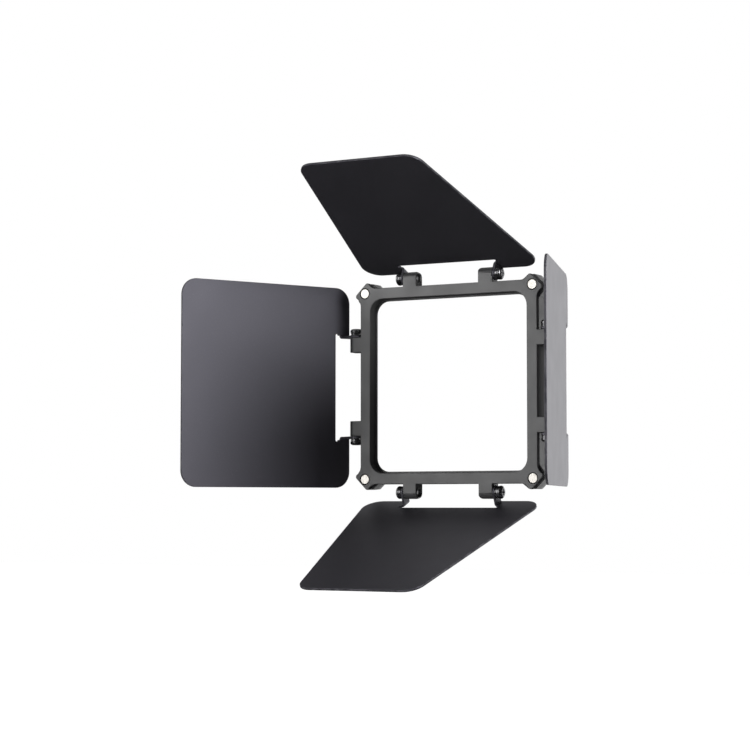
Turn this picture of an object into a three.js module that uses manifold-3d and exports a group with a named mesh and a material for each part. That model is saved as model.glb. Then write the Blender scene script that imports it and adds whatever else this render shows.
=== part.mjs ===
// Four-leaf magnetic barn doors for a small square LED light.
//
// A square frame holds four corner magnets that clip it to the front of the light. Eight knuckles
// on the frame carry four thin sheet leaves. Each leaf hangs on a pair of pan-head screws that pass
// through its bent ears, and wave washers give the hinges their friction. The ears have rising
// heights, so the closed leaves stack: top, bottom, right, then left outermost.
//
// Millimetres. +Z is up, the leaves open towards -Y, +X is right as seen from the front. The origin
// is the centre of the opening on the seat, the ledge that rests on the light. Behind the seat a
// shallow skirt runs back round the rim of the light.

import * as THREE from 'three';
import { mergeVertices } from 'three/addons/utils/BufferGeometryUtils.js';
import Module from 'manifold-3d';

const wasm = await Module();
wasm.setup();

// ---------------------------------------------------------------- driving dimensions

// Frame
const MAGNET_PITCH = 41;
const FRAME_THICKNESS = 2.85;     // front face to the seat, and the depth of a knuckle
const FRONT_LAYER = 1.0;          // depth of the layer with the narrow corner lobes
const LAYER_OVERLAP = 0.05;       // how far the front layer runs into the rear one
const SKIRT_DEPTH = 1.5;          // seat to the rear end of the frame
const BAR_OUTER = 21.6;           // centre to the outer edge of a bar
const OPENING_HALF = 19.15;
const OPENING_RADIUS = 3;
const LIP_STEP = 0.35;            // how far the rear lip stands into the opening
const LIP_THICKNESS = 0.5;
const RECESS_HALF = 20.2;         // the recess behind the seat
const RECESS_RADIUS = 4.05;
const FRONT_DIAGONAL = 43;        // |x| + |z| along the 45 degree end of a front lobe
const FRONT_FLANK_START = 18.75;  // where a front lobe leaves the bar
const FRONT_FLANK_ANGLE = 54;     // degrees from the bar
const FRONT_FLANK_FILLET = 2.25;
const REAR_DIAGONAL = 43.5;       // the same on the rear layer, whose lobes are wider
const REAR_REACH = 22.8;          // centre to the side of a rear lobe at its tip
const REAR_FLANK_START = 17.8;
const REAR_FLANK_END = 18.9;
const REAR_FLANK_REACH = 22.65;   // centre to the side of a rear lobe at its flank
const TIP_RADIUS = 0.6;
const FLANK_RADIUS = 0.3;

// Magnets
const MAGNET_RADIUS = 1.08;
const MAGNET_CLEARANCE = 0.04;
const MAGNET_RECESS = 0.05;

// Hinges
const HINGE_OFFSET = 23.4;        // centre of the frame to a hinge axis
const KNUCKLE_NEAR = 7.6;         // middle of the side to the near face of a knuckle
const KNUCKLE_FAR = 10.9;
const KNUCKLE_CORNER = 0.6;
const KNUCKLE_ROOT = 20.6;        // where a knuckle starts, inside the bar
const SCREW_RADIUS = 0.55;
const THREAD_CLEARANCE = 0.03;
const POCKET_RADIUS = 0.95;       // round pocket behind the threaded hole
const POCKET_DEPTH = 0.7;
const HOLE_CLEARANCE = 0.1;       // around the screw in ears and washers
const STACK_GAP = 0.05;           // running clearance between stacked hinge pieces
const WAVE_WASHER = 0.25;
const FLAT_WASHER = 0.25;
const WASHER_RADIUS = 1.35;
const HEAD_RADIUS = 1.4;
const HEAD_HEIGHT = 0.8;
const HEAD_RIM = 0.32;            // height of the straight rim under the dome
const HEAD_FLAT = 0.45;           // share of the head's radius that is flat on top
const CROSS_LENGTH = 1.35;
const CROSS_WIDTH = 0.3;
const CROSS_DEPTH = 0.5;

// Leaves
const SHEET = 0.5;
const EAR_RADIUS = 1.45;
const BEND_RADIUS = 0.2;          // inside radius of the bent ears
const HINGE_EDGE = 1;             // how far the sheet runs on behind the hinge axis
const NOTCH_FLOOR = 2.7;          // hinge axis to the floor of the notch between the ears
const RELIEF_RADIUS = 0.375;
const LEAF_CORNER = 3.6;
const STACK_PITCH = 0.6;          // rise from one closed leaf to the next in each pair
const FLAP_LENGTH = 44.85;        // top and bottom leaves, hinge axis to free edge
const FLAP_HALF_BASE = 21.7;
const FLAP_HALF_TIP = 13.7;
const SIDE_LENGTH = 42;           // left and right leaves, hinge axis to free edge
const SIDE_HALF = 22.3;
const FLAP_STANDOFF = 2.05;       // hinge axis to the middle of the lowest flap's sheet
const SIDE_STANDOFF = 3.95;

// Faceting
const ROUND = 16;                 // facets around small cylinders
const CORNER_STEPS = 5;           // facets on rounded corners
const DOME_STEPS = 4;             // facets over a screw's dome
const OVERSHOOT = 1;              // how far cutting shapes run past what they cut

// Worked out
const AXIS_Y = -FRAME_THICKNESS / 2;
const MAGNET_Y = (SKIRT_DEPTH - FRAME_THICKNESS) / 2;
const THREAD_RADIUS = SCREW_RADIUS + THREAD_CLEARANCE;
const HOLE_RADIUS = SCREW_RADIUS + HOLE_CLEARANCE;
const EAR_NEAR = KNUCKLE_FAR + STACK_GAP;
const EAR_FAR = EAR_NEAR + SHEET;
const WAVE_NEAR = EAR_FAR + STACK_GAP;
const FLAT_NEAR = WAVE_NEAR + WAVE_WASHER + STACK_GAP;
const HEAD_NEAR = FLAT_NEAR + FLAT_WASHER + STACK_GAP;
const SCREW_TIP = KNUCKLE_NEAR + POCKET_DEPTH / 2;

// The four sides are quarter turns about Y from the top one. On each, the hinge runs along local X.
const SIDES = [
  { name: 'top', turn: 0, ends: ['left', 'right'], opening: 113.5,
    standoff: FLAP_STANDOFF, length: FLAP_LENGTH, halfBase: FLAP_HALF_BASE, halfTip: FLAP_HALF_TIP },
  { name: 'right', turn: 1, ends: ['upper', 'lower'], opening: 109.5,
    standoff: SIDE_STANDOFF, length: SIDE_LENGTH, halfBase: SIDE_HALF, halfTip: SIDE_HALF },
  { name: 'bottom', turn: 2, ends: ['right', 'left'], opening: 112.5,
    standoff: FLAP_STANDOFF + STACK_PITCH, length: FLAP_LENGTH,
    halfBase: FLAP_HALF_BASE, halfTip: FLAP_HALF_TIP },
  { name: 'left', turn: 3, ends: ['lower', 'upper'], opening: 115,
    standoff: SIDE_STANDOFF + STACK_PITCH, length: SIDE_LENGTH,
    halfBase: SIDE_HALF, halfTip: SIDE_HALF },
];

// ---------------------------------------------------------------- materials

const finishes = {
  frame: { color: 0x3a3a3c, roughness: 0.5, metalness: 0.6 },
  leaf: { color: 0x1c1c1e, roughness: 0.4, metalness: 0.5 },
  magnet: { color: 0xdcdcde, roughness: 0.2, metalness: 1.0 },
  screw: { color: 0x6b6b6e, roughness: 0.35, metalness: 0.9 },
  washer: { color: 0x8a8a8d, roughness: 0.35, metalness: 0.9 },
};

function namedMesh(name, geometry, finish) {
  const mesh = new THREE.Mesh(geometry, new THREE.MeshStandardMaterial(finishes[finish]));
  mesh.name = name;
  return mesh;
}

// ---------------------------------------------------------------- solids

function solid(geometry) {
  const bare = geometry.index ? geometry.toNonIndexed() : geometry.clone();
  bare.deleteAttribute('normal');
  bare.deleteAttribute('uv');
  const merged = mergeVertices(bare, 1e-5);
  const vertProperties = new Float32Array(merged.attributes.position.array);
  const triVerts = new Uint32Array(merged.index.array);
  return new wasm.Manifold(new wasm.Mesh({ numProp: 3, vertProperties, triVerts }));
}

function geometryOf(body) {
  const mesh = body.getMesh();
  const geometry = new THREE.BufferGeometry();
  geometry.setAttribute('position', new THREE.BufferAttribute(mesh.vertProperties, 3));
  geometry.setIndex(new THREE.BufferAttribute(mesh.triVerts, 1));
  geometry.computeVertexNormals();
  return geometry;
}

// An outline from corner points [x, y, radius]: each corner is rounded by its radius, if it has one.
function roundedShape(corners) {
  const points = [];
  corners.forEach(([x, y, radius = 0], i) => {
    const corner = new THREE.Vector2(x, y);
    if (radius === 0) {
      points.push(corner);
      return;
    }
    const [px, py] = corners[(i + corners.length - 1) % corners.length];
    const [nx, ny] = corners[(i + 1) % corners.length];
    const back = new THREE.Vector2(px, py).sub(corner).normalize();
    const ahead = new THREE.Vector2(nx, ny).sub(corner).normalize();
    const half = Math.acos(THREE.MathUtils.clamp(back.dot(ahead), -1, 1)) / 2;
    const middle = back.clone().add(ahead).normalize();
    const centre = corner.clone().addScaledVector(middle, radius / Math.sin(half));
    const first = corner.clone().addScaledVector(back, radius / Math.tan(half)).sub(centre);
    const last = corner.clone().addScaledVector(ahead, radius / Math.tan(half)).sub(centre);
    const start = first.angle();
    const turn = Math.atan2(first.cross(last), first.dot(last));
    for (let step = 0; step <= CORNER_STEPS; step += 1) {
      const angle = start + (turn * step) / CORNER_STEPS;
      points.push(new THREE.Vector2(Math.cos(angle), Math.sin(angle)).multiplyScalar(radius).add(centre));
    }
  });
  return new THREE.Shape(points);
}

// A plate drawn in X and Z, from its rear face at y towards -Y.
function plate(shape, thickness, y) {
  const geometry = new THREE.ExtrudeGeometry(shape, { depth: thickness, bevelEnabled: false });
  geometry.rotateX(Math.PI / 2);
  geometry.translate(0, y, 0);
  return solid(geometry);
}

// A cylinder along X, from x to x + length, about the line through (y, z).
function rodAlongX(radius, x, length, y, z) {
  const geometry = new THREE.CylinderGeometry(radius, radius, length, ROUND);
  geometry.rotateZ(-Math.PI / 2);
  geometry.translate(x + length / 2, y, z);
  return solid(geometry);
}

function rodAlongY(radius, y, length, x, z) {
  const geometry = new THREE.CylinderGeometry(radius, radius, length, ROUND);
  geometry.translate(x, y + length / 2, z);
  return solid(geometry);
}

// Repeats a quarter of an outline, drawn from the +Y axis clockwise to the +X axis, all the way round.
function fourfold(quarter) {
  return [0, 1, 2, 3].flatMap((turn) => quarter.map(([x, y, radius]) => {
    const point = new THREE.Vector2(x, y).rotateAround(new THREE.Vector2(), (-turn * Math.PI) / 2);
    return [point.x, point.y, radius];
  }));
}

// ---------------------------------------------------------------- frame

function squareShape(half, radius) {
  return roundedShape(fourfold([[half, half, radius]]));
}

// The front layer's lobes leave the bars in a hollow curve and end in a 45 degree edge.
function frontLayerShape() {
  const slope = THREE.MathUtils.degToRad(FRONT_FLANK_ANGLE);
  const run = (FRONT_DIAGONAL - FRONT_FLANK_START - BAR_OUTER) / (Math.cos(slope) + Math.sin(slope));
  const tipAlong = FRONT_FLANK_START + run * Math.cos(slope);
  const tipOut = BAR_OUTER + run * Math.sin(slope);
  return roundedShape(fourfold([
    [FRONT_FLANK_START, BAR_OUTER, FRONT_FLANK_FILLET],
    [tipAlong, tipOut, TIP_RADIUS],
    [tipOut, tipAlong, TIP_RADIUS],
    [BAR_OUTER, FRONT_FLANK_START, FRONT_FLANK_FILLET],
  ]));
}

// The rear layer's lobes are wider, with nearly flat sides and short chamfers down to the bars.
function rearLayerShape() {
  const tipAlong = REAR_DIAGONAL - REAR_REACH;
  return roundedShape(fourfold([
    [REAR_FLANK_START, BAR_OUTER, 0],
    [REAR_FLANK_END, REAR_FLANK_REACH, FLANK_RADIUS],
    [tipAlong, REAR_REACH, TIP_RADIUS],
    [REAR_REACH, tipAlong, TIP_RADIUS],
    [REAR_FLANK_REACH, REAR_FLANK_END, FLANK_RADIUS],
    [BAR_OUTER, REAR_FLANK_START, 0],
  ]));
}

// One knuckle on the top bar, on the side given by sign. Its end is round about the hinge axis.
function knuckle(sign) {
  const tip = HINGE_OFFSET + FRAME_THICKNESS / 2;
  const front = plate(roundedShape([
    [sign * KNUCKLE_NEAR, KNUCKLE_ROOT, 0],
    [sign * KNUCKLE_NEAR, tip, KNUCKLE_CORNER],
    [sign * KNUCKLE_FAR, tip, 0],
    [sign * KNUCKLE_FAR, KNUCKLE_ROOT, 0],
  ]), FRAME_THICKNESS, 0);
  const start = Math.min(sign * KNUCKLE_NEAR, sign * KNUCKLE_FAR);
  const width = KNUCKLE_FAR - KNUCKLE_NEAR;
  const block = new THREE.BoxGeometry(width, FRAME_THICKNESS, HINGE_OFFSET - KNUCKLE_ROOT);
  block.translate(start + width / 2, AXIS_Y, (HINGE_OFFSET + KNUCKLE_ROOT) / 2);
  const side = solid(block).add(rodAlongX(FRAME_THICKNESS / 2, start, width, AXIS_Y, HINGE_OFFSET));
  return front.intersect(side);
}

// The threaded hole through a knuckle, with the round pocket at its near face.
function knuckleHole(sign) {
  const width = KNUCKLE_FAR - KNUCKLE_NEAR;
  const cutter = (radius, length) => {
    const near = KNUCKLE_NEAR - OVERSHOOT;
    return rodAlongX(radius, sign > 0 ? near : -near - length, length, AXIS_Y, HINGE_OFFSET);
  };
  return cutter(THREAD_RADIUS, width + 2 * OVERSHOOT).add(cutter(POCKET_RADIUS, POCKET_DEPTH + OVERSHOOT));
}

function mountingFrame() {
  const step = FRONT_LAYER - FRAME_THICKNESS;
  let body = plate(frontLayerShape(), FRONT_LAYER + LAYER_OVERLAP, step + LAYER_OVERLAP);
  body = body.add(plate(rearLayerShape(), SKIRT_DEPTH - step, SKIRT_DEPTH));
  for (const { turn } of SIDES) {
    for (const sign of [-1, 1]) {
      body = body.add(knuckle(sign).rotate([0, turn * 90, 0]));
    }
  }
  const lipOpening = squareShape(OPENING_HALF - LIP_STEP, OPENING_RADIUS);
  body = body.subtract(plate(squareShape(OPENING_HALF, OPENING_RADIUS), FRAME_THICKNESS, -LIP_THICKNESS));
  body = body.subtract(plate(lipOpening, FRAME_THICKNESS, OVERSHOOT));
  const recess = squareShape(RECESS_HALF, RECESS_RADIUS);
  body = body.subtract(plate(recess, SKIRT_DEPTH + OVERSHOOT, SKIRT_DEPTH + OVERSHOOT));
  for (const { turn } of SIDES) {
    for (const sign of [-1, 1]) {
      body = body.subtract(knuckleHole(sign).rotate([0, turn * 90, 0]));
    }
  }
  const holeLength = FRAME_THICKNESS + SKIRT_DEPTH + 2 * OVERSHOOT;
  for (const [x, z] of magnetPlaces()) {
    const radius = MAGNET_RADIUS + MAGNET_CLEARANCE;
    body = body.subtract(rodAlongY(radius, -FRAME_THICKNESS - OVERSHOOT, holeLength, x, z));
  }
  return geometryOf(body);
}

// ---------------------------------------------------------------- magnets

function magnetPlaces() {
  const half = MAGNET_PITCH / 2;
  return [[-half, half], [half, half], [half, -half], [-half, -half]];
}

function magnet() {
  const length = FRAME_THICKNESS + SKIRT_DEPTH - 2 * MAGNET_RECESS;
  return new THREE.CylinderGeometry(MAGNET_RADIUS, MAGNET_RADIUS, length, ROUND);
}

// ---------------------------------------------------------------- leaves

// A leaf is drawn closed, about its hinge axis at the origin: the sheet hangs towards -Z and lies
// its standoff in front of the axis, towards -Y.

function sheetShape({ length, halfBase, halfTip }) {
  const notch = EAR_FAR + BEND_RADIUS;
  return roundedShape([
    [notch, HINGE_EDGE, 0],
    [halfBase, HINGE_EDGE, LEAF_CORNER],
    [halfTip, -length, LEAF_CORNER],
    [-halfTip, -length, LEAF_CORNER],
    [-halfBase, HINGE_EDGE, LEAF_CORNER],
    [-notch, HINGE_EDGE, 0],
    [-notch, -NOTCH_FLOOR, 0],
    [notch, -NOTCH_FLOOR, 0],
  ]);
}

// The small round relief at each end of the notch, beside an ear.
function relief(sign, standoff) {
  const centre = NOTCH_FLOOR - RELIEF_RADIUS;
  return rodAlongY(RELIEF_RADIUS, -standoff - SHEET, 2 * SHEET, sign * (EAR_FAR + BEND_RADIUS), -centre);
}

// One bent ear: a strip that leaves the sheet in a bend and ends in a round lug about the axis.
function ear(sign, standoff) {
  const inner = standoff - SHEET / 2;
  const root = EAR_FAR + 2 * BEND_RADIUS;
  const profile = roundedShape([
    [sign * EAR_NEAR, 0, 0],
    [sign * EAR_FAR, 0, 0],
    [sign * EAR_FAR, inner, BEND_RADIUS],
    [sign * root, inner, 0],
    [sign * root, inner + SHEET, 0],
    [sign * EAR_NEAR, inner + SHEET, BEND_RADIUS + SHEET],
  ]);
  const depth = HINGE_EDGE + EAR_RADIUS;
  const strip = new THREE.ExtrudeGeometry(profile, { depth, bevelEnabled: false });
  strip.translate(0, 0, -HINGE_EDGE);
  strip.rotateX(Math.PI);
  const start = Math.min(sign * EAR_NEAR, sign * EAR_FAR);
  const lug = rodAlongX(EAR_RADIUS, start, SHEET, 0, 0);
  const hole = rodAlongX(HOLE_RADIUS, start - OVERSHOOT, SHEET + 2 * OVERSHOOT, 0, 0);
  return solid(strip).add(lug).subtract(hole);
}

function leaf(side) {
  const { standoff } = side;
  let body = plate(sheetShape(side), SHEET, SHEET / 2 - standoff);
  for (const sign of [-1, 1]) {
    body = body.subtract(relief(sign, standoff)).add(ear(sign, standoff));
  }
  return geometryOf(body);
}

// ---------------------------------------------------------------- hinge hardware

// Hardware is drawn along +Y from the middle of the side outwards, then laid along the hinge.

function ring(near, thickness) {
  const profile = [
    [HOLE_RADIUS, near],
    [WASHER_RADIUS, near],
    [WASHER_RADIUS, near + thickness],
    [HOLE_RADIUS, near + thickness],
    [HOLE_RADIUS, near],
  ];
  return new THREE.LatheGeometry(profile.map(([r, y]) => new THREE.Vector2(r, y)), ROUND);
}

function screw() {
  const rim = HEAD_NEAR + HEAD_RIM;
  const dome = HEAD_HEIGHT - HEAD_RIM;
  const profile = [
    [0, SCREW_TIP],
    [SCREW_RADIUS, SCREW_TIP],
    [SCREW_RADIUS, HEAD_NEAR],
    [HEAD_RADIUS, HEAD_NEAR],
  ];
  for (let step = 0; step <= DOME_STEPS; step += 1) {
    const angle = (step / DOME_STEPS) * (Math.PI / 2);
    const radius = HEAD_RADIUS * (HEAD_FLAT + (1 - HEAD_FLAT) * Math.cos(angle));
    profile.push([radius, rim + dome * Math.sin(angle)]);
  }
  profile.push([0, HEAD_NEAR + HEAD_HEIGHT]);
  const body = solid(new THREE.LatheGeometry(profile.map(([r, y]) => new THREE.Vector2(r, y)), ROUND));
  const middle = HEAD_NEAR + HEAD_HEIGHT;
  const slotA = new THREE.BoxGeometry(CROSS_LENGTH, 2 * CROSS_DEPTH, CROSS_WIDTH);
  const slotB = new THREE.BoxGeometry(CROSS_WIDTH, 2 * CROSS_DEPTH, CROSS_LENGTH);
  slotA.translate(0, middle, 0);
  slotB.translate(0, middle, 0);
  return geometryOf(body.subtract(solid(slotA)).subtract(solid(slotB)));
}

// ---------------------------------------------------------------- assembly

const doors = new THREE.Group();

doors.add(namedMesh('mounting_frame', mountingFrame(), 'frame'));

['top_left', 'top_right', 'bottom_right', 'bottom_left'].forEach((corner, i) => {
  const mesh = namedMesh(`magnet_${corner}`, magnet(), 'magnet');
  const [x, z] = magnetPlaces()[i];
  mesh.position.set(x, MAGNET_Y, z);
  doors.add(mesh);
});

for (const side of SIDES) {
  const hinge = new THREE.Group();
  hinge.position.set(0, AXIS_Y, HINGE_OFFSET);
  const turned = new THREE.Group();
  turned.rotation.y = (side.turn * Math.PI) / 2;
  turned.add(hinge);
  doors.add(turned);

  const leafMesh = namedMesh(`${side.name}_leaf`, leaf(side), 'leaf');
  leafMesh.rotation.x = -THREE.MathUtils.degToRad(side.opening);
  hinge.add(leafMesh);

  side.ends.forEach((end, i) => {
    const place = `${side.name}_${end}`;
    const hardware = new THREE.Group();
    hardware.rotation.z = i === 0 ? Math.PI / 2 : -Math.PI / 2;
    hardware.add(namedMesh(`wave_washer_${place}`, ring(WAVE_NEAR, WAVE_WASHER), 'washer'));
    hardware.add(namedMesh(`flat_washer_${place}`, ring(FLAT_NEAR, FLAT_WASHER), 'washer'));
    hardware.add(namedMesh(`hinge_screw_${place}`, screw(), 'screw'));
    hinge.add(hardware);
  });
}

export default doors;
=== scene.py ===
"""Magnetic barn doors for a small square LED light: the looks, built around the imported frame.

Every shape is drawn in millimetres in the part's own frame and made in metres. The origin is the
centre of the opening on the seat that rests on the light, -Y is the front, and +Z is up.
"""

import math

import bmesh
import bpy
from mathutils import Matrix, Vector
from mathutils.geometry import delaunay_2d_cdt


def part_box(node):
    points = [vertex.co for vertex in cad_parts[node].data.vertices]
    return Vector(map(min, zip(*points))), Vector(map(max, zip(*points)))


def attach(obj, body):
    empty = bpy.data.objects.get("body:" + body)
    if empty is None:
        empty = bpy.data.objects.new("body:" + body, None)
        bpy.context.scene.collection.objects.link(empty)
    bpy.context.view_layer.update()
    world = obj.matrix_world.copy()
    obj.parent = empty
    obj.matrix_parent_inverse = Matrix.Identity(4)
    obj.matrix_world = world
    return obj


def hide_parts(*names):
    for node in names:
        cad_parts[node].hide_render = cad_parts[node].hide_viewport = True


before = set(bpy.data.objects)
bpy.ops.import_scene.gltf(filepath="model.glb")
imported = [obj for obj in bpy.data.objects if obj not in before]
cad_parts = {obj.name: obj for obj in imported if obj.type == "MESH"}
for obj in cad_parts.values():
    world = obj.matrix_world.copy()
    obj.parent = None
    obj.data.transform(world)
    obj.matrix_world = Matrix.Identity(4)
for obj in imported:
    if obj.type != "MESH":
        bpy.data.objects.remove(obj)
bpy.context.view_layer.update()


# ------------------------------------------------------------------ driving dimensions, millimetres

MM = 0.001

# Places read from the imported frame
frame_low, frame_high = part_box("mounting_frame")
magnet_low, magnet_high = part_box("magnet_top_right")
FRAME_FRONT = frame_low.y / MM
FRAME_REAR = frame_high.y / MM
HINGE_TIP = frame_high.z / MM
MAGNET_HALF_PITCH = (magnet_low.x + magnet_high.x) / 2 / MM
MAGNET_RADIUS = (magnet_high.x - magnet_low.x) / 2 / MM
MAGNET_FRONT = magnet_low.y / MM
MAGNET_REAR = magnet_high.y / MM

# Frame
KNUCKLE_ROUND = -FRAME_FRONT / 2   # radius of a knuckle's round end
AXIS_Y = -KNUCKLE_ROUND
HINGE_OFFSET = HINGE_TIP - KNUCKLE_ROUND
STEP_Y = -1.85                    # where the narrow front layer meets the wide rear layer
BAR_OUTER = 21.6
OPENING_HALF = 19.15
OPENING_RADIUS = 3.0
LIP_STEP = 0.35
LIP_THICKNESS = 0.5
RECESS_HALF = 20.2                # the recess behind the seat
KNUCKLE_NEAR = 7.6
KNUCKLE_FAR = 10.9
KNUCKLE_CORNER = 0.6
FRONT_DIAGONAL = 43.0
FRONT_FLANK_START = 18.75
FRONT_FLANK_ANGLE = 54.0
FRONT_FLANK_FILLET = 2.25
REAR_DIAGONAL = 43.5
REAR_REACH = 22.8
REAR_FLANK_START = 17.8
REAR_FLANK_END = 18.9
REAR_FLANK_REACH = 22.65
TIP_RADIUS = 0.6
FLANK_RADIUS = 0.3
FRAME_EDGE = 0.16                 # rounding of the frame's edges
STEP_EDGE = 0.08
LEVEL_GAP = 0.02                  # least depth between a rounded edge and the next ring
ROUND_STEPS = 16                  # rings round a knuckle's round end
POCKET_RADIUS = 0.95
POCKET_DEPTH = 0.7
THREAD_HOLE = 0.58
HOLE_CHAMFER = 0.12
HOLE_STEPS = 48                   # points round a hole in the frame
CUT_PAST = 0.5                    # how far a cutting shape runs on past the face that it cuts
ROOM = 0.01                       # allowance when points are told apart by place

# Hinge hardware, as distances from the middle of a side
EAR_NEAR = 10.95
SHEET = 0.5
EAR_FAR = EAR_NEAR + SHEET
STACK_GAP = 0.05
WASHER = 0.25
WAVE_NEAR = EAR_FAR + STACK_GAP
FLAT_NEAR = WAVE_NEAR + WASHER + STACK_GAP
HEAD_NEAR = FLAT_NEAR + WASHER + STACK_GAP
SCREW_TIP = KNUCKLE_NEAR + POCKET_DEPTH / 2
WASHER_RADIUS = 1.35
WASHER_HOLE = 0.65
WASHER_ROUNDING = 0.3             # a washer's corner radius as a share of its thickness
HEAD_RADIUS = 1.4
HEAD_HEIGHT = 0.8
HEAD_RIM = 0.32                   # height of the head's straight rim, below its dome
HEAD_FLAT = 0.45                  # the dome's flat top as a share of the head's radius
HEAD_EDGE = 0.06
DOME_STEPS = 12
CROSS_MOUTH = (0.3, 0.9, 0.2)     # a blade's height over the head, half length and half width
CROSS_FLOOR = (-0.5, 0.34, 0.11)
THREAD_CREST = 0.55
THREAD_ROOT = 0.46
THREAD_PITCH = 0.25
TURN_ROWS = 6                     # rings in one turn of the thread
SHAFT_STEPS = 24
SHAFT_OVERLAP = 0.05              # how far the shaft runs into the head
TIP_LENGTH = 0.15                 # where the thread grows to its full height
TIP_SHARE = 0.8                   # the tip's radius as a share of the thread's root
MAGNET_EDGE = 0.13
MAGNET_GAP = 0.04
MAGNET_GROOVE = 0.1               # width of the groove round a magnet's front end
GROOVE_EDGE = 0.04
GROOVE_DEPTH = 0.4
WAVE_SHEET = 0.13                 # thickness of a wave washer's metal
WAVES = 3

# Leaves
EAR_RADIUS = 1.45
BEND_RADIUS = 0.2
HINGE_EDGE = 1.0                  # how far a leaf's sheet reaches behind its hinge axis
NOTCH_FLOOR = 2.7                 # how far ahead of the axis the notch between the ears ends
RELIEF_RADIUS = 0.375
LEAF_CORNER = 3.6
SHEET_EDGE = 0.09                 # rounding of the sheet's edges
EAR_HOLE_STEPS = 40
FLAP = {"length": 44.85, "half_base": 21.7, "half_tip": 13.7}
SIDE = {"length": 42.0, "half_base": 22.3, "half_tip": 22.3}

# The four sides are quarter turns about Y from the top one
SIDES = {
    "top": {"turn": 0, "ends": ("left", "right"), "opening": 113.5, "standoff": 2.05, **FLAP},
    "right": {"turn": 1, "ends": ("upper", "lower"), "opening": 109.5, "standoff": 3.95, **SIDE},
    "bottom": {"turn": 2, "ends": ("right", "left"), "opening": 112.5, "standoff": 2.65, **FLAP},
    "left": {"turn": 3, "ends": ("lower", "upper"), "opening": 115.0, "standoff": 4.55, **SIDE},
}

ARC_STEPS = 12                    # points round a corner
BEND_STEPS = 8                    # fold lines in the bend of an ear
EDGE_STEPS = 3                    # points round an edge's rounding
EDGE = "edge"                     # the attribute that marks edges
FLAT = "__mod_weightednormals_faceweight"  # Blender's own name for how much a face's normal counts
FLAT_STRONG = 16384
SQUARE = 0.9999                   # least share of one axis in the normal of a face square to it
SMOOTH_ANGLE = 40                 # edges that turn by more degrees than this stay sharp
RING_STEPS = 64                   # points round a screw, washer or magnet
MERGE = 1e-5                      # points nearer than this are one point
CUT_MERGE = 0.001                 # and points left by a cut that are nearer than this
SLIVER = 1e-6                     # edges shorter than this are taken out
FILL_INSIDE = 1                   # the triangulation's own setting: fill what the edges enclose
FILL_ROOM = 1e-7                  # and its allowance for points that meet

# Materials
PATCH_LOW = 0.3                   # the noise values at which a patch starts and is at its full
PATCH_HIGH = 0.7
WALL_FACING = 0.35                # share of Y in the direction of a face that is wholly a wall
FACE_FACING = 0.75                # and of one that isn't a wall at all
STEP_FADE = 0.04                  # where the matt walls with painted shade end, past the step, opening and knuckle
OPENING_FADE = (0.1, 0.3)
KNUCKLE_FADE = 0.1

# Studio, metres and degrees
FLOOR_Z = -0.25
FLOOR_SIZE = 12
FLOOR_CELLS = 8
CAMERA_DISTANCE = 0.4544
CAMERA_HEIGHT = -0.0263
CAMERA_YAW = 28.05
CAMERA_PAN = 2.13
CAMERA_PITCH = 3.57
SENSOR = 36.0                     # and the lens, millimetres
LENS = 100.67
CLIP_START = 0.01
WORLD_FRONT = 0.80                # share of +Y in a direction where the bright backdrop starts
WORLD_BACK = 0.97                 # and where it is at its full strength
WORLD_BRIGHT = 2.7
WORLD_DIM = 0.04                  # strength everywhere else


# ------------------------------------------------------------------ outlines

def rounded(corners):
    """Points of an outline whose corners (x, y, radius) are rounded by arcs."""
    points = []
    count = len(corners)
    for index, (x, y, radius) in enumerate(corners):
        corner = Vector((x, y))
        if radius == 0:
            points.append(corner)
            continue
        back = (Vector(corners[index - 1][:2]) - corner).normalized()
        ahead = (Vector(corners[(index + 1) % count][:2]) - corner).normalized()
        half = math.acos(max(-1.0, min(1.0, back.dot(ahead)))) / 2
        centre = corner + (back + ahead).normalized() * (radius / math.sin(half))
        first = corner + back * (radius / math.tan(half)) - centre
        last = corner + ahead * (radius / math.tan(half)) - centre
        start = math.atan2(first.y, first.x)
        turn = math.atan2(first.cross(last), first.dot(last))
        for step in range(ARC_STEPS + 1):
            angle = start + turn * step / ARC_STEPS
            points.append(centre + Vector((math.cos(angle), math.sin(angle))) * radius)
    return points


def inset(points, distance):
    """The outline moved inwards by a distance, point for point. It runs clockwise."""
    moved = []
    count = len(points)
    for index, point in enumerate(points):
        back = (point - points[index - 1]).normalized()
        ahead = (points[(index + 1) % count] - point).normalized()
        normal_back = Vector((back.y, -back.x))
        normal_ahead = Vector((ahead.y, -ahead.x))
        middle = normal_back + normal_ahead
        scale = distance * 2 / middle.length_squared
        moved.append(point + middle * scale)
    return moved


def arc(x, y, radius, start, end):
    """Points of an arc, the first and last included."""
    steps = max(ARC_STEPS, int(abs(end - start) / math.pi * 2 * ARC_STEPS))
    turns = [start + (end - start) * step / steps for step in range(steps + 1)]
    return [Vector((x + radius * math.cos(turn), y + radius * math.sin(turn))) for turn in turns]


def circle(radius, steps, x=0.0, y=0.0):
    """A clockwise circle."""
    turns = [-math.tau * step / steps for step in range(steps)]
    return [Vector((x + radius * math.cos(turn), y + radius * math.sin(turn))) for turn in turns]


def fourfold(quarter):
    """Repeats a quarter of an outline clockwise all the way round."""
    corners = []
    for turn in range(4):
        for x, y, radius in quarter:
            point = Matrix.Rotation(-turn * math.pi / 2, 2) @ Vector((x, y))
            corners.append((point.x, point.y, radius))
    return corners


def edge_profile(radius):
    """(depth, inset) pairs of a rounded edge, from the flat face round to the side."""
    pairs = []
    for step in range(EDGE_STEPS + 1):
        angle = math.pi / 2 * step / EDGE_STEPS
        pairs.append((radius * (1 - math.cos(angle)), radius * (1 - math.sin(angle))))
    return pairs


# ------------------------------------------------------------------ meshes

def blank():
    """An empty mesh whose vertices can be marked as edges, which the materials read."""
    mesh = bmesh.new()
    mesh.verts.layers.float.new(EDGE)
    return mesh


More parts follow.
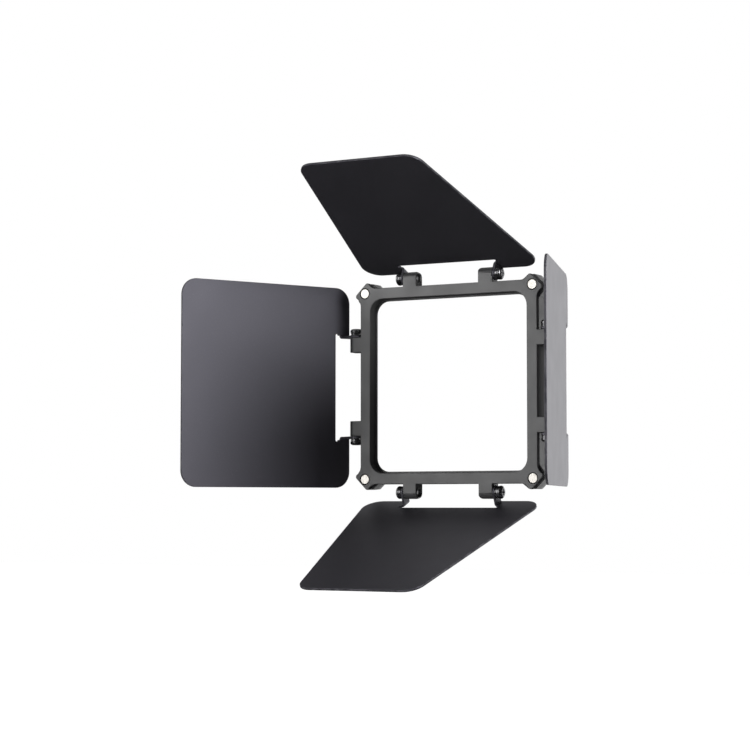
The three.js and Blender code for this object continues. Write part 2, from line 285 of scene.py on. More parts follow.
def ring_of(mesh, points, edge=0.0):
    layer = mesh.verts.layers.float[EDGE]
    ring = [mesh.verts.new(point) for point in points]
    for vert in ring:
        vert[layer] = edge
    return ring


def wall(mesh, first, second):
    """Quads between two closed rings of the same count."""
    count = len(first)
    for index in range(count):
        after = (index + 1) % count
        mesh.faces.new((first[index], first[after], second[after], second[index]))


def cap(mesh, rings, flat_points, bridges=()):
    """Triangles over the area between rings of vertices. flat_points are their places in the plane,
    and bridges are extra pairs of vertices that an edge must join."""
    verts = [vert for ring in rings for vert in ring]
    flats = [point for points in flat_points for point in points]
    order = {vert: index for index, vert in enumerate(verts)}
    edges = []
    for ring in rings:
        edges += [(order[a], order[b]) for a, b in zip(ring, ring[1:] + ring[:1])]
    edges += [(order[a], order[b]) for a, b in bridges]
    result = delaunay_2d_cdt(flats, edges, [], FILL_INSIDE, FILL_ROOM)
    triangles, originals = result[2], result[3]
    for triangle in triangles:
        if all(len(originals[index]) > 0 for index in triangle):
            corners = [originals[index][0] for index in triangle]
            middle = sum((flats[index] for index in corners), Vector((0, 0))) / 3
            if inside_area(middle, flat_points):
                mesh.faces.new([verts[index] for index in corners])


def inside_area(point, loops):
    """Whether a point is inside the first loop and outside the others, by counting crossings."""
    crossings = 0
    for loop in loops:
        for a, b in zip(loop, loop[1:] + loop[:1]):
            if (a.y > point.y) != (b.y > point.y):
                if point.x < a.x + (point.y - a.y) * (b.x - a.x) / (b.y - a.y):
                    crossings += 1
    return crossings % 2 == 1


def mark_flat(mesh):
    """Marks the faces that lie square to an axis, so that smooth shading keeps them flat."""
    layer = mesh.faces.layers.int.new(FLAT)
    mesh.normal_update()
    for face in mesh.faces:
        square = max(abs(part) for part in face.normal) > SQUARE
        face[layer] = FLAT_STRONG if square else 0


def finished(mesh, name):
    """The mesh, in millimetres, as an object in metres with clean, outward faces."""
    bmesh.ops.remove_doubles(mesh, verts=mesh.verts, dist=MERGE)
    bmesh.ops.dissolve_degenerate(mesh, edges=mesh.edges, dist=SLIVER)
    bmesh.ops.recalc_face_normals(mesh, faces=mesh.faces)
    if FLAT not in mesh.faces.layers.int:
        mark_flat(mesh)
    bmesh.ops.scale(mesh, vec=(MM, MM, MM), verts=mesh.verts)
    data = bpy.data.meshes.new(name)
    mesh.to_mesh(data)
    mesh.free()
    piece = bpy.data.objects.new(name, data)
    bpy.context.scene.collection.objects.link(piece)
    return piece


def smooth(piece):
    """Smooth shading with flat faces kept flat."""
    piece.data.shade_smooth()
    piece.data.set_sharp_from_angle(angle=math.radians(SMOOTH_ANGLE))
    weighted = piece.modifiers.new("flat faces stay flat", "WEIGHTED_NORMAL")
    weighted.mode = "CORNER_ANGLE"
    weighted.keep_sharp = True
    weighted.use_face_influence = True


def lathe(profile, steps=RING_STEPS):
    """A mesh turned about +Y from (radius, y) pairs. A radius of nothing closes an end, and a
    profile with none closes on itself."""
    mesh = blank()
    rings = []
    for radius, y in profile:
        if radius == 0:
            rings.append([mesh.verts.new((0, y, 0))])
        else:
            rings.append(ring_of(mesh, [(p.x, y, p.y) for p in circle(radius, steps)]))
    pairs = list(zip(rings, rings[1:]))
    if len(rings[0]) > 1:
        pairs.append((rings[-1], rings[0]))
    for first, second in pairs:
        if len(first) == 1 or len(second) == 1:
            middle, ring = (first[0], second) if len(first) == 1 else (second[0], first)
            for a, b in zip(ring, ring[1:] + ring[:1]):
                mesh.faces.new((middle, a, b))
        else:
            wall(mesh, first, second)
    return mesh


def combine(piece, tool, operation):
    """Cuts or joins the tool's shape into a piece for good, and removes the tool."""
    change = piece.modifiers.new("combine", "BOOLEAN")
    change.operation = operation
    change.solver = "EXACT"
    change.object = tool
    bpy.context.view_layer.update()
    evaluated = piece.evaluated_get(bpy.context.evaluated_depsgraph_get())
    result = bpy.data.meshes.new_from_object(evaluated)
    piece.modifiers.clear()
    piece.data = result
    bpy.data.objects.remove(tool)


def clean(piece):
    """Joins the nearly coincident points that cutting leaves behind."""
    mesh = bmesh.new()
    mesh.from_mesh(piece.data)
    bmesh.ops.remove_doubles(mesh, verts=mesh.verts, dist=CUT_MERGE * MM)
    bmesh.ops.dissolve_degenerate(mesh, edges=mesh.edges, dist=CUT_MERGE * MM)
    mesh.to_mesh(piece.data)
    mesh.free()


# ------------------------------------------------------------------ the frame's mesh

def front_outline():
    """The narrow front layer with its knuckles. Its lobes leave the bars in a hollow curve."""
    slope = math.radians(FRONT_FLANK_ANGLE)
    run = (FRONT_DIAGONAL - FRONT_FLANK_START - BAR_OUTER) / (math.cos(slope) + math.sin(slope))
    along = FRONT_FLANK_START + run * math.cos(slope)
    out = BAR_OUTER + run * math.sin(slope)
    return frame_outline([
        (FRONT_FLANK_START - FRONT_FLANK_FILLET, BAR_OUTER, 0),
        (FRONT_FLANK_START, BAR_OUTER, FRONT_FLANK_FILLET),
        (along, out, TIP_RADIUS),
    ])


def rear_outline():
    """The wide rear layer with its knuckles."""
    return frame_outline([
        (REAR_FLANK_START, BAR_OUTER, 0),
        (REAR_FLANK_END, REAR_FLANK_REACH, FLANK_RADIUS),
        (REAR_DIAGONAL - REAR_REACH, REAR_REACH, TIP_RADIUS),
    ])


def frame_outline(half_lobe):
    """The frame's whole outline from the three corners of half a lobe."""
    half_quarter = [
        (KNUCKLE_NEAR, BAR_OUTER, 0),
        (KNUCKLE_NEAR, HINGE_TIP, KNUCKLE_CORNER),
        (KNUCKLE_FAR, HINGE_TIP, 0),
        (KNUCKLE_FAR, BAR_OUTER, 0),
    ] + half_lobe
    mirrored = [(y, x, radius) for x, y, radius in reversed(half_quarter)]
    return rounded(fourfold(half_quarter + mirrored))


def tip_reach(y):
    """How far out a knuckle's round end reaches at a depth y."""
    return HINGE_OFFSET + math.sqrt(max(0.0, KNUCKLE_ROUND ** 2 - (y - AXIS_Y) ** 2))


def frame_ring(outline, y, distance, reach):
    """The outline at a depth, moved in by a distance, with the knuckles held to a reach."""
    places = []
    for point, moved in zip(outline, inset(outline, distance)):
        x, z = moved
        if abs(point.x) > BAR_OUTER and abs(point.y) < KNUCKLE_FAR + ROOM:
            x = math.copysign(min(abs(x), reach), x)
        if abs(point.y) > BAR_OUTER and abs(point.x) < KNUCKLE_FAR + ROOM:
            z = math.copysign(min(abs(z), reach), z)
        places.append((x, y, z))
    return places


def frame_levels():
    """(outline, y, inset, knuckle reach) of the outer wall's rings, from the front face to the rear.
    The knuckles end at the seat's depth, and only the bars run on behind it."""
    front, rear = front_outline(), rear_outline()
    turns = [math.pi * step / ROUND_STEPS for step in range(1, ROUND_STEPS)]
    rounds = [AXIS_Y - KNUCKLE_ROUND * math.cos(turn) for turn in turns]
    places = []
    for depth, moved in edge_profile(FRAME_EDGE):
        places.append((front, FRAME_FRONT + depth, moved))
    first, last = FRAME_FRONT + FRAME_EDGE + LEVEL_GAP, STEP_Y - LEVEL_GAP
    places += [(front, y, 0) for y in rounds if first < y < last]
    places += [(front, STEP_Y, 0)]
    for depth, moved in edge_profile(STEP_EDGE):
        places.append((rear, STEP_Y + depth, moved))
    places += [(rear, y, 0) for y in rounds if STEP_Y + STEP_EDGE + LEVEL_GAP < y]
    levels = [(outline, y, moved, tip_reach(y)) for outline, y, moved in places]
    levels += [(rear, 0, 0, tip_reach(0)), (rear, 0, 0, BAR_OUTER)]
    for depth, moved in reversed(edge_profile(FRAME_EDGE)):
        levels.append((rear, FRAME_REAR - depth, moved, BAR_OUTER - moved))
    return levels


def opening_levels():
    """(half width, corner radius, y) of every ring of the opening's wall, from front to rear."""
    lip = OPENING_HALF - LIP_STEP
    recess_radius = OPENING_RADIUS + RECESS_HALF - OPENING_HALF
    places = [(OPENING_HALF, moved, FRAME_FRONT + depth) for depth, moved in edge_profile(FRAME_EDGE)]
    places += [(OPENING_HALF, 0, -LIP_THICKNESS)]
    places += [(lip, moved, -LIP_THICKNESS + depth) for depth, moved in edge_profile(STEP_EDGE)]
    places += [(lip, moved, -depth) for depth, moved in reversed(edge_profile(STEP_EDGE))]
    levels = [(half + moved, OPENING_RADIUS + moved, y) for half, moved, y in places]
    levels += [(RECESS_HALF, recess_radius, 0)]
    for depth, moved in reversed(edge_profile(FRAME_EDGE)):
        levels.append((RECESS_HALF + moved, recess_radius + moved, FRAME_REAR - depth))
    return levels


def magnet_places():
    """The four magnets' (x, z)."""
    return [(x * MAGNET_HALF_PITCH, z * MAGNET_HALF_PITCH) for x in (-1, 1) for z in (-1, 1)]


def magnet_hole_levels():
    """(radius, y) of every ring of a magnet's hole, with the groove round its front end."""
    groove = MAGNET_RADIUS + MAGNET_GROOVE
    hole = MAGNET_RADIUS + MAGNET_GAP
    levels = [(groove + moved, FRAME_FRONT + depth) for depth, moved in edge_profile(GROOVE_EDGE)]
    levels += [(groove, FRAME_FRONT + GROOVE_DEPTH), (hole, FRAME_FRONT + GROOVE_DEPTH)]
    for depth, moved in reversed(edge_profile(STEP_EDGE)):
        levels.append((hole + moved, FRAME_REAR - depth))
    return levels


def frame_mesh():
    """The frame's body, with its opening and magnet holes but without the knuckles' holes."""
    mesh = blank()
    outer = []
    for outline, y, moved, reach in frame_levels():
        edge = 1.0 if 0 < moved < FRAME_EDGE else 0.0
        outer.append(ring_of(mesh, frame_ring(outline, y, moved, reach), edge))
    inner = []
    for half, radius, y in opening_levels():
        corner = rounded(fourfold([(half, half, radius)]))
        inner.append(ring_of(mesh, [(p.x, y, p.y) for p in corner]))
    holes = []
    for x, z in magnet_places():
        holes.append([
            ring_of(mesh, [(p.x, y, p.y) for p in circle(radius, HOLE_STEPS, x, z)])
            for radius, y in magnet_hole_levels()
        ])
    for rings in [outer, inner] + holes:
        for first, second in zip(rings, rings[1:]):
            wall(mesh, first, second)
    for end in (0, -1):
        rings = [outer[end], inner[end]] + [hole[end] for hole in holes]
        cap(mesh, rings, [[Vector((v.co.x, v.co.z)) for v in ring] for ring in rings])
    return mesh


def knuckle_cutter(turn, sign):
    """The threaded hole of one knuckle with its round pocket, each with a small chamfer."""
    near, far = KNUCKLE_NEAR, KNUCKLE_FAR
    cutter = lathe([
        (0, near - CUT_PAST),
        (POCKET_RADIUS + HOLE_CHAMFER + CUT_PAST, near - CUT_PAST),
        (POCKET_RADIUS, near + HOLE_CHAMFER),
        (POCKET_RADIUS, near + POCKET_DEPTH),
        (THREAD_HOLE, near + POCKET_DEPTH),
        (THREAD_HOLE, far - HOLE_CHAMFER),
        (THREAD_HOLE + HOLE_CHAMFER + CUT_PAST, far + CUT_PAST),
        (0, far + CUT_PAST),
    ], HOLE_STEPS)
    bmesh.ops.transform(cutter, matrix=on_side(turn, sign), verts=cutter.verts)
    return cutter


def on_hinge(turn):
    """Takes what is drawn about the origin to the hinge axis of one side of the frame."""
    return Matrix.Rotation(turn * math.pi / 2, 4, "Y") @ Matrix.Translation((0, AXIS_Y, HINGE_OFFSET))


def on_side(turn, sign):
    """Takes hardware drawn along +Y to one end of the hinge on one side of the frame."""
    return on_hinge(turn) @ Matrix.Rotation(-sign * math.pi / 2, 4, "Z")


def build_frame():
    piece = finished(frame_mesh(), "frame_body")
    for side in SIDES.values():
        for sign in (-1, 1):
            tool = finished(knuckle_cutter(side["turn"], sign), "cutter")
            combine(piece, tool, "DIFFERENCE")
    clean(piece)
    smooth(piece)
    return piece


# ------------------------------------------------------------------ the leaves' meshes

def bend_length():
    """Length of the bend along the middle of the sheet."""
    return (BEND_RADIUS + SHEET / 2) * math.pi / 2


def flat_to_bent(point, lift, standoff):
    """Takes a point of the flat pattern, lifted off its middle, to the bent, closed leaf."""
    side = math.copysign(1, point.x)
    corner = EAR_FAR + BEND_RADIUS
    radius = BEND_RADIUS + SHEET / 2
    run = corner - abs(point.x)
    below_ears = point.y < -EAR_RADIUS - ROOM
    if run <= 0 or below_ears:
        return Vector((point.x, -standoff - lift, point.y))
    if run < bend_length():
        angle = run / radius
        across = corner - (radius + lift) * math.sin(angle)
        out = standoff - radius + (radius + lift) * math.cos(angle)
        return Vector((side * across, -out, point.y))
    across = corner - radius - lift
    out = standoff - radius - (run - bend_length())
    return Vector((side * across, -out, point.y))


def leaf_outline(side):
    """A leaf's flat pattern, clockwise, the place of its ear hole, and the pairs of points that
    bound each fold line of the bends."""
    corner = EAR_FAR + BEND_RADIUS
    hole = corner - bend_length() - (side["standoff"] - BEND_RADIUS - SHEET / 2)
    folds = [corner - bend_length() * step / BEND_STEPS for step in range(BEND_STEPS + 1)]
    lug_end = math.asin(HINGE_EDGE / EAR_RADIUS)
    relief = arc(corner, RELIEF_RADIUS - NOTCH_FLOOR, RELIEF_RADIUS, -math.pi / 2, math.pi / 2)
    inner_edge = [Vector((x, -EAR_RADIUS)) for x in folds]
    lug = arc(hole, 0, EAR_RADIUS, -math.pi / 2, lug_end - math.tau)
    outer_edge = [Vector((x, HINGE_EDGE)) for x in reversed(folds)]
    sheet = rounded([
        (corner, HINGE_EDGE, 0),
        (side["half_base"], HINGE_EDGE, LEAF_CORNER),
        (side["half_tip"], -side["length"], LEAF_CORNER),
        (0, -side["length"], 0),
    ])[1:-1]
    right = relief + inner_edge + lug + outer_edge + sheet
    left = [Vector((-point.x, point.y)) for point in reversed(right)]
    first = len(relief)
    last = first + len(inner_edge) + len(lug) + len(outer_edge) - 1
    pairs = [(first + step, last - step) for step in range(len(folds))]
    whole = len(right) + len(left)
    pairs += [(whole - 1 - a, whole - 1 - b) for a, b in pairs]
    return right + left, hole, pairs


def leaf_mesh(side):
    """A leaf, closed, about its hinge axis: the flat pattern with its edges rounded, then bent."""
    mesh = blank()
    outline, hole, pairs = leaf_outline(side)
    half = SHEET / 2
    profile = [(half - depth, moved) for depth, moved in edge_profile(SHEET_EDGE)]
    profile += [(depth - half, moved) for depth, moved in reversed(edge_profile(SHEET_EDGE))]
    loops = [[inset(outline, moved) for lift, moved in profile]]
    for sign in (-1, 1):
        radii = [WASHER_HOLE + moved for lift, moved in profile]
        loops.append([circle(radius, EAR_HOLE_STEPS, sign * hole) for radius in radii])
    rings = []
    for loop in loops:
        bent = []
        for (lift, moved), points in zip(profile, loop):
            edge = 1.0 if moved < SHEET_EDGE else 0.0
            bent.append(ring_of(mesh, [flat_to_bent(p, lift, side["standoff"]) for p in points], edge))
        for first, second in zip(bent, bent[1:]):
            wall(mesh, first, second)
        rings.append(bent)
    for end in (0, -1):
        ends = [bent[end] for bent in rings]
        flats = [loop[end] for loop in loops]
        cap(mesh, ends, flats, [(ends[0][a], ends[0][b]) for a, b in pairs])
    return mesh


def build_leaf(name):
    side = SIDES[name]
    mesh = leaf_mesh(side)
    mark_flat(mesh)
    opened = on_hinge(side["turn"]) @ Matrix.Rotation(-math.radians(side["opening"]), 4, "X")
    bmesh.ops.transform(mesh, matrix=opened, verts=mesh.verts)
    piece = finished(mesh, name + "_leaf_sheet")
    smooth(piece)
    return piece


# ------------------------------------------------------------------ the hardware's meshes

def washer_section(thickness, near):
    """The rounded rectangle that a flat washer is turned from."""
    corner = thickness * WASHER_ROUNDING
    far = near + thickness
    section = rounded([
        (WASHER_HOLE, near, corner),
        (WASHER_HOLE, far, corner),
        (WASHER_RADIUS, far, corner),
        (WASHER_RADIUS, near, corner),
    ])
    return [(point.x, point.y) for point in section]


def flat_washer():
    return lathe(washer_section(WASHER, FLAT_NEAR))


def wave_washer():
    """A thin ring whose waves fill the washer's space."""
    waviness = (WASHER - WAVE_SHEET) / 2
    mesh = lathe(washer_section(WAVE_SHEET, WAVE_NEAR + waviness))
    for vert in mesh.verts:
        turn = math.atan2(vert.co.z, vert.co.x)
        vert.co.y += waviness * math.cos(WAVES * turn)
    return mesh


def screw_head():
    """The pan head, from the axis over the dome and back under to the axis."""
    rim = HEAD_NEAR + HEAD_RIM
    dome = HEAD_HEIGHT - HEAD_RIM
    profile = [(0, HEAD_NEAR + HEAD_HEIGHT)]
    for step in range(DOME_STEPS + 1):
        angle = math.pi / 2 * (1 - step / DOME_STEPS)
        radius = HEAD_RADIUS * (HEAD_FLAT + (1 - HEAD_FLAT) * math.cos(angle))
        profile.append((radius, rim + dome * math.sin(angle)))
    for depth, moved in edge_profile(HEAD_EDGE)[::-1]:
        profile.append((HEAD_RADIUS - moved, HEAD_NEAR + depth))
    profile.append((0, HEAD_NEAR))
    return lathe(profile[::-1])


def screw_thread():
    """The shaft: a grid whose radius rises and falls with the thread's helix, closed at both ends."""
    mesh = blank()
    end = HEAD_NEAR + SHAFT_OVERLAP
    rows = int((end - SCREW_TIP) / THREAD_PITCH * TURN_ROWS)
    rings = []
    for row in range(rows + 1):
        y = SCREW_TIP + (end - SCREW_TIP) * row / rows
        taper = min(1.0, (y - SCREW_TIP) / TIP_LENGTH)
        root = THREAD_ROOT * (TIP_SHARE + (1 - TIP_SHARE) * taper)
        ring = []
        for step in range(SHAFT_STEPS):
            turn = -math.tau * step / SHAFT_STEPS
            phase = ((y - SCREW_TIP) / THREAD_PITCH + step / SHAFT_STEPS) % 1
            ridge = 1 - abs(2 * phase - 1)
            radius = root + (THREAD_CREST - THREAD_ROOT) * ridge * taper
            ring.append((radius * math.cos(turn), y, radius * math.sin(turn)))
        rings.append(ring_of(mesh, ring))
    for first, second in zip(rings, rings[1:]):
        wall(mesh, first, second)
    mesh.faces.new(rings[0])
    mesh.faces.new(rings[-1])
    return mesh


def cross_blade(turn):
    """One blade of the cross recess: wide and long at the top of the head, narrow below."""
    mesh = blank()
    top = HEAD_NEAR + HEAD_HEIGHT
    rings = []
    for height, length, width in (CROSS_MOUTH, CROSS_FLOOR):
        corners = [(-length, width), (length, width), (length, -width), (-length, -width)]
        rings.append(ring_of(mesh, [(x, top + height, z) for x, z in corners]))
    wall(mesh, *rings)
    mesh.faces.new(rings[0])
    mesh.faces.new(rings[1])
    bmesh.ops.rotate(mesh, matrix=Matrix.Rotation(turn, 3, "Y"), verts=mesh.verts)
    return mesh


def screw():
    """One screw along +Y: a head with its cross recess, joined to a threaded shaft."""
    piece = finished(screw_head(), "screw")
    for turn in (0, math.pi / 2):
        combine(piece, finished(cross_blade(turn), "blade"), "DIFFERENCE")
    combine(piece, finished(screw_thread(), "shaft"), "UNION")
    return taken(piece)


def magnet():
    """A magnet along +Y, with its plated edges rounded."""
    half = (MAGNET_REAR - MAGNET_FRONT) / 2
    profile = [(MAGNET_RADIUS - moved, half - depth) for depth, moved in edge_profile(MAGNET_EDGE)]
    profile += [(radius, -y) for radius, y in reversed(profile)]
    return taken(finished(lathe([(0, half)] + profile + [(0, -half)]), "magnet"))


def taken(piece):
    """A scratch object's mesh, with the object removed."""
    data = piece.data
    bpy.data.objects.remove(piece)
    return data


def placed(name, data, matrix):
    """An object of its own copy of a mesh, put in place in the mesh itself."""
    piece = bpy.data.objects.new(name, data.copy())
    bpy.context.scene.collection.objects.link(piece)
    scaled = matrix.copy()
    scaled.translation *= MM
    piece.data.transform(scaled)
    smooth(piece)
    return piece


# ------------------------------------------------------------------ materials

class Shader:
    """A material's node tree, with short calls for the nodes that the finishes share."""

    def __init__(self, name):
        self.material = bpy.data.materials.new(name)
        self.material.use_nodes = True
        self.tree = self.material.node_tree
        self.surface = self.tree.nodes["Principled BSDF"]
        self.place = self.tree.nodes.new("ShaderNodeTexCoord").outputs["Object"]

    def link(self, source, target):
        self.tree.links.new(source, target)

    def noise(self, size, detail):
        """Noise with features of a size in metres."""
        noise = self.tree.nodes.new("ShaderNodeTexNoise")
        noise.inputs["Scale"].default_value = 1 / size
        noise.inputs["Detail"].default_value = detail
        self.link(self.place, noise.inputs["Vector"])
        return noise.outputs["Fac"]

    def attribute(self, name):
        node = self.tree.nodes.new("ShaderNodeAttribute")
        node.attribute_name = name
        return node.outputs["Fac"]

    def spread(self, value, low, high, start=0.0, stop=1.0):
        """A value mapped from low..high to start..stop and held there."""
        node = self.tree.nodes.new("ShaderNodeMapRange")
        node.inputs["From Min"].default_value = low
        node.inputs["From Max"].default_value = high
        node.inputs["To Min"].default_value = start
        node.inputs["To Max"].default_value = stop
        self.link(value, node.inputs["Value"])
        return node.outputs["Result"]

    def below(self, value, full, none):
        """1 where a length is under full, falling to 0 at none, both in millimetres."""
        return self.spread(value, full * MM, none * MM, 1, 0)

    def patches(self, size, detail, start=0.0, stop=1.0):
        """Soft patches of a size in metres, from start to stop."""
        return self.spread(self.noise(size, detail), PATCH_LOW, PATCH_HIGH, start, stop)

    def math(self, operation, first, second=None):
        """A sum done on a socket, alone or with a second socket or number."""
        node = self.tree.nodes.new("ShaderNodeMath")
        node.operation = operation
        self.link(first, node.inputs[0])
        if isinstance(second, bpy.types.NodeSocket):
            self.link(second, node.inputs[1])
        elif second is not None:
            node.inputs[1].default_value = second
        return node.outputs["Value"]

    def times(self, first, second):
        return self.math("MULTIPLY", first, second)

    def split(self, vector):
        """A vector's parts along X, Y and Z."""
        node = self.tree.nodes.new("ShaderNodeSeparateXYZ")
        self.link(vector, node.inputs["Vector"])
        return [node.outputs[axis] for axis in "XYZ"]

    def mix(self, share, first, second):
        """A colour between two colours or sockets."""
        node = self.tree.nodes.new("ShaderNodeMix")
        node.data_type = "RGBA"
        self.link(share, node.inputs["Factor"])
        for socket, colour in ((node.inputs["A"], first), (node.inputs["B"], second)):
            if isinstance(colour, tuple):
                socket.default_value = (*colour, 1)
            else:
                self.link(colour, socket)
        return node.outputs["Result"]

    def bump(self, height, distance, strength):
        node = self.tree.nodes.new("ShaderNodeBump")
        node.inputs["Distance"].default_value = distance
        node.inputs["Strength"].default_value = strength
        self.link(height, node.inputs["Height"])
        return node.outputs["Normal"]

    def set(self, **values):
        """Sets or links the surface's own sockets, named with underscores for spaces."""
        for name, value in values.items():
            socket = self.surface.inputs[name.replace("_", " ")]
            if isinstance(value, bpy.types.NodeSocket):
                self.link(value, socket)
            else:
                socket.default_value = (*value, 1) if isinstance(value, tuple) else value


def magnet_groove_shade(shader):
    """Where shade is painted round the magnets: over each groove and a little past its rim."""
    x, _, z = shader.split(shader.place)
    squares = []
    for part in (x, z):
        off = shader.math("SUBTRACT", shader.math("ABSOLUTE", part), MAGNET_HALF_PITCH * MM)
        squares.append(shader.times(off, off))
    away = shader.math("SQRT", shader.math("ADD", *squares))
    rim = MAGNET_RADIUS + MAGNET_GROOVE + GROOVE_EDGE
    return shader.below(away, rim, rim + GROOVE_EDGE)


def painted_shade_walls(shader):
    """Where the frame's walls are made matt and painted dark as shade: round its front layer, inside its
    opening and between the knuckles."""
    x, y, z = shader.split(shader.place)
    normal = shader.tree.nodes.new("ShaderNodeNewGeometry").outputs["Normal"]
    facing = shader.math("ABSOLUTE", shader.split(normal)[1])
    wall = shader.spread(facing, WALL_FACING, FACE_FACING, 1, 0)
    front = shader.below(y, STEP_Y - STEP_FADE, STEP_Y + STEP_FADE)
    across, along = shader.math("ABSOLUTE", x), shader.math("ABSOLUTE", z)
    out = shader.math("MAXIMUM", across, along)
    inside = shader.below(out, OPENING_HALF + OPENING_FADE[0], OPENING_HALF + OPENING_FADE[1])
    middle = shader.math("MINIMUM", across, along)
    between = shader.below(middle, KNUCKLE_NEAR, KNUCKLE_NEAR + KNUCKLE_FADE)
    matt_and_shade = shader.math("MAXIMUM", shader.math("MAXIMUM", front, inside), between)
    return shader.times(wall, matt_and_shade)


def frame_finish():
    """The frame's satin black coat, a little lighter along its edges as rubbed wear and painted edge
    highlight, and painted dark as shade on its walls and round the magnets.
    """
    shader = Shader("frame_paint")
    cloud = shader.patches(0.009, 3)
    colour = shader.mix(cloud, (0.030, 0.030, 0.031), (0.040, 0.040, 0.041))
    # edges a little lighter: partly rubbed wear, partly painted edge highlight
    rub_and_highlight = shader.times(shader.attribute(EDGE), shader.spread(shader.noise(0.0012, 3), 0.45, 0.65))
    colour = shader.mix(shader.spread(rub_and_highlight, 0, 1, 0, 0.35), colour, (0.11, 0.11, 0.115))
    # painted shade: the walls and the magnets' grooves are darkened almost to black, and made rougher
    matt_and_shade = shader.math("MAXIMUM", painted_shade_walls(shader), magnet_groove_shade(shader))
    colour = shader.mix(matt_and_shade, colour, (0.008, 0.008, 0.008))
    rough = shader.patches(0.004, 4, 0.40, 0.48)
    rough = shader.math("MAXIMUM", rough, shader.spread(matt_and_shade, 0, 1, 0, 0.9))
    grain = shader.bump(shader.noise(0.00022, 2), 0.000012, 0.6)
    shader.set(Base_Color=colour, Roughness=rough, Normal=grain, Metallic=0.0)
    shader.surface.inputs["IOR"].default_value = 1.9
    return shader.material


def leaf_finish():
    """Fine-textured black powder coat on sheet metal, a little lighter along its edges as rubbed wear
    and painted edge highlight.
    """
    shader = Shader("leaf_powder_coat")
    cloud = shader.patches(0.012, 3)
    colour = shader.mix(cloud, (0.010, 0.0096, 0.0112), (0.013, 0.0125, 0.0145))
    speck = shader.spread(shader.noise(0.0003, 2), 0.55, 0.75, 0, 0.35)
    colour = shader.mix(speck, colour, (0.035, 0.034, 0.038))
    # edges a little lighter: partly rubbed wear, partly painted edge highlight
    rub_and_highlight = shader.times(shader.attribute(EDGE), shader.spread(shader.noise(0.0015, 3), 0.4, 0.65))
    colour = shader.mix(shader.spread(rub_and_highlight, 0, 1, 0, 0.4), colour, (0.12, 0.12, 0.125))
    rough = shader.patches(0.006, 2, 0.49, 0.52)
    grain = shader.bump(shader.noise(0.00028, 2), 0.0000025, 0.5)
    shader.set(Base_Color=colour, Roughness=rough, Normal=grain, Metallic=0.0)
    shader.surface.inputs["IOR"].default_value = 1.9
    shader.surface.inputs["Specular Tint"].default_value = (0.88, 0.86, 1.0, 1.0)
    return shader.material


def magnet_finish():
    """Bright nickel plate with a faint grain."""
    shader = Shader("magnet_nickel")
    cloud = shader.patches(0.0008, 3)
    colour = shader.mix(cloud, (0.61, 0.585, 0.545), (0.67, 0.645, 0.605))
    rough = shader.patches(0.0005, 4, 0.28, 0.36)
    grain = shader.bump(shader.noise(0.0001, 2), 0.000003, 0.4)
    shader.set(Base_Color=colour, Roughness=rough, Normal=grain, Metallic=1.0)
    return shader.material


def steel_finish(name, dark, light, low, high):
    """Plated steel: dark where the plate is whole, and lighter where it has worn."""
    shader = Shader(name)
    cloud = shader.spread(shader.noise(0.0006, 4), 0.35, 0.65)
    colour = shader.mix(cloud, dark, light)
    rough = shader.patches(0.0004, 4, low, high)
    grain = shader.bump(shader.noise(0.0001, 2), 0.000004, 0.5)
    shader.set(Base_Color=colour, Roughness=rough, Normal=grain, Metallic=1.0)
    return shader.material


# ------------------------------------------------------------------ the assembly

def dress(piece, material, slot, body, *nodes):
    piece.data.materials.clear()
    piece.data.materials.append(material)
    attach(piece, body)
    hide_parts(*nodes)


def assemble():
    frame_paint = frame_finish()
    leaf_coat = leaf_finish()
    nickel = magnet_finish()
    screw_steel = steel_finish("screw_black_plate", (0.16, 0.16, 0.165), (0.24, 0.24, 0.245), 0.26, 0.36)
    washer_steel = steel_finish("washer_steel", (0.30, 0.30, 0.31), (0.42, 0.42, 0.43), 0.22, 0.32)

    dress(build_frame(), frame_paint, "frame", "frame", "mounting_frame")
    for name in SIDES:
        dress(build_leaf(name), leaf_coat, "leaf", name + "_leaf", name + "_leaf")

    magnet_data = magnet()
    for x, end in ((-1, "left"), (1, "right")):
        for z, level in ((-1, "bottom"), (1, "top")):
            place = (x * MAGNET_HALF_PITCH, (MAGNET_FRONT + MAGNET_REAR) / 2, z * MAGNET_HALF_PITCH)
            name = f"magnet_{level}_{end}"
            piece = placed(name + "_plated", magnet_data, Matrix.Translation(place))
            dress(piece, nickel, "magnet", "frame", name)

    kinds = {
        "wave_washer": (taken(finished(wave_washer(), "wave")), washer_steel, "washer"),
        "flat_washer": (taken(finished(flat_washer(), "flat")), washer_steel, "washer"),
        "hinge_screw": (screw(), screw_steel, "screw"),
    }
    for side_name, side in SIDES.items():
        for sign, end in zip((-1, 1), side["ends"]):
            for kind, (data, material, slot) in kinds.items():
                name = f"{kind}_{side_name}_{end}"
                piece = placed(name + "_fine", data, on_side(side["turn"], sign))
                dress(piece, material, slot, "frame", name)


# ------------------------------------------------------------------ the studio

def build_floor():
    """A seamless white floor, left out of reflections."""
    bpy.ops.mesh.primitive_grid_add(
        x_subdivisions=FLOOR_CELLS, y_subdivisions=FLOOR_CELLS, size=FLOOR_SIZE, location=(0, 0, FLOOR_Z)
    )
    floor = bpy.context.object
    floor.name = "studio_floor"
    shader = Shader("studio_floor_white")
    cloud = shader.patches(0.5, 3)
    shader.set(Base_Color=shader.mix(cloud, (0.86, 0.86, 0.86), (0.88, 0.88, 0.88)), Roughness=0.9)
    shader.set(Emission_Color=(1.0, 1.0, 1.0), Emission_Strength=1.0)
    floor.data.materials.append(shader.material)
    floor.visible_glossy = False


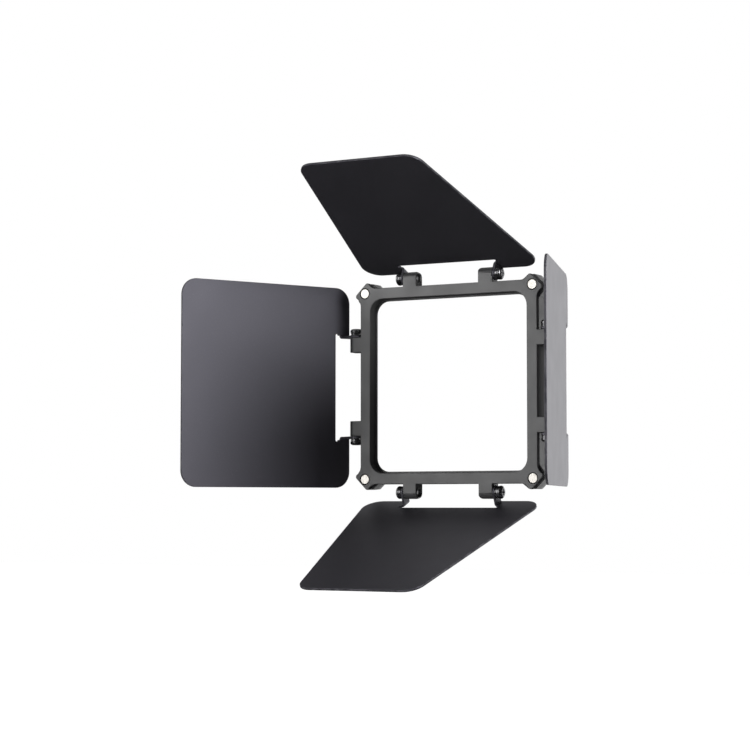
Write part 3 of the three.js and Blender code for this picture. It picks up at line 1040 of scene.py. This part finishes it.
def build_world():
    """White behind the object in view, and a bright backdrop and dim room round it in reflections."""
    world = bpy.data.worlds.new("studio")
    bpy.context.scene.world = world
    world.use_nodes = True
    nodes, links = world.node_tree.nodes, world.node_tree.links
    nodes.clear()
    output = nodes.new("ShaderNodeOutputWorld")
    seen = nodes.new("ShaderNodeBackground")
    seen.inputs["Color"].default_value = (1, 1, 1, 1)
    seen.inputs["Strength"].default_value = 1.0
    around = nodes.new("ShaderNodeBackground")
    direction = nodes.new("ShaderNodeTexCoord")
    split = nodes.new("ShaderNodeSeparateXYZ")
    ramp = nodes.new("ShaderNodeMapRange")
    ramp.interpolation_type = "SMOOTHSTEP"
    ramp.inputs["From Min"].default_value = WORLD_FRONT
    ramp.inputs["From Max"].default_value = WORLD_BACK
    ramp.inputs["To Min"].default_value = WORLD_DIM
    ramp.inputs["To Max"].default_value = WORLD_BRIGHT
    path = nodes.new("ShaderNodeLightPath")
    mix = nodes.new("ShaderNodeMixShader")
    links.new(direction.outputs["Generated"], split.inputs["Vector"])
    links.new(split.outputs["Y"], ramp.inputs["Value"])
    links.new(ramp.outputs["Result"], around.inputs["Strength"])
    links.new(path.outputs["Is Camera Ray"], mix.inputs["Fac"])
    links.new(around.outputs["Background"], mix.inputs[1])
    links.new(seen.outputs["Background"], mix.inputs[2])
    links.new(mix.outputs["Shader"], output.inputs["Surface"])


def softbox(name, place, size, power, target=(0, 0, 0)):
    """A square lamp at a place, turned to a target, out of the camera's sight."""
    data = bpy.data.lights.new(name, "AREA")
    data.shape = "SQUARE"
    data.size = size
    data.energy = power
    lamp = bpy.data.objects.new(name, data)
    lamp.location = place
    lamp.rotation_euler = (Vector(target) - Vector(place)).to_track_quat("-Z", "Y").to_euler()
    lamp.visible_camera = False
    bpy.context.scene.collection.objects.link(lamp)


def build_lights():
    """The right lamp shines on the left leaf, the front one on the frame, and the others on the rest."""
    softbox("right_softbox", place=(0.45, -0.13, 0.13), size=0.2, power=2.0, target=(-0.04, -0.03, 0.01))
    softbox("back_left_softbox", place=(-0.5, 0.72, 0.63), size=0.8, power=1.0)
    softbox("front_left_softbox", place=(-0.76, -0.88, 0.22), size=0.8, power=6.2)
    softbox("top_softbox", place=(0.0, -0.1, 1.1), size=0.9, power=1.5)


def build_camera():
    """A long lens to the right of the front, a little below the middle."""
    data = bpy.data.cameras.new("camera")
    data.sensor_width = SENSOR
    data.lens = LENS
    data.clip_start = CLIP_START
    camera = bpy.data.objects.new("camera", data)
    yaw = math.radians(CAMERA_YAW)
    camera.location = (CAMERA_DISTANCE * math.sin(yaw), -CAMERA_DISTANCE * math.cos(yaw), CAMERA_HEIGHT)
    camera.rotation_euler = (math.radians(90 + CAMERA_PITCH), 0, yaw + math.radians(CAMERA_PAN))
    bpy.context.scene.collection.objects.link(camera)
    bpy.context.scene.camera = camera


assemble()
build_floor()
build_world()
build_lights()
build_camera()
bpy.context.scene.view_settings.view_transform = "Standard"
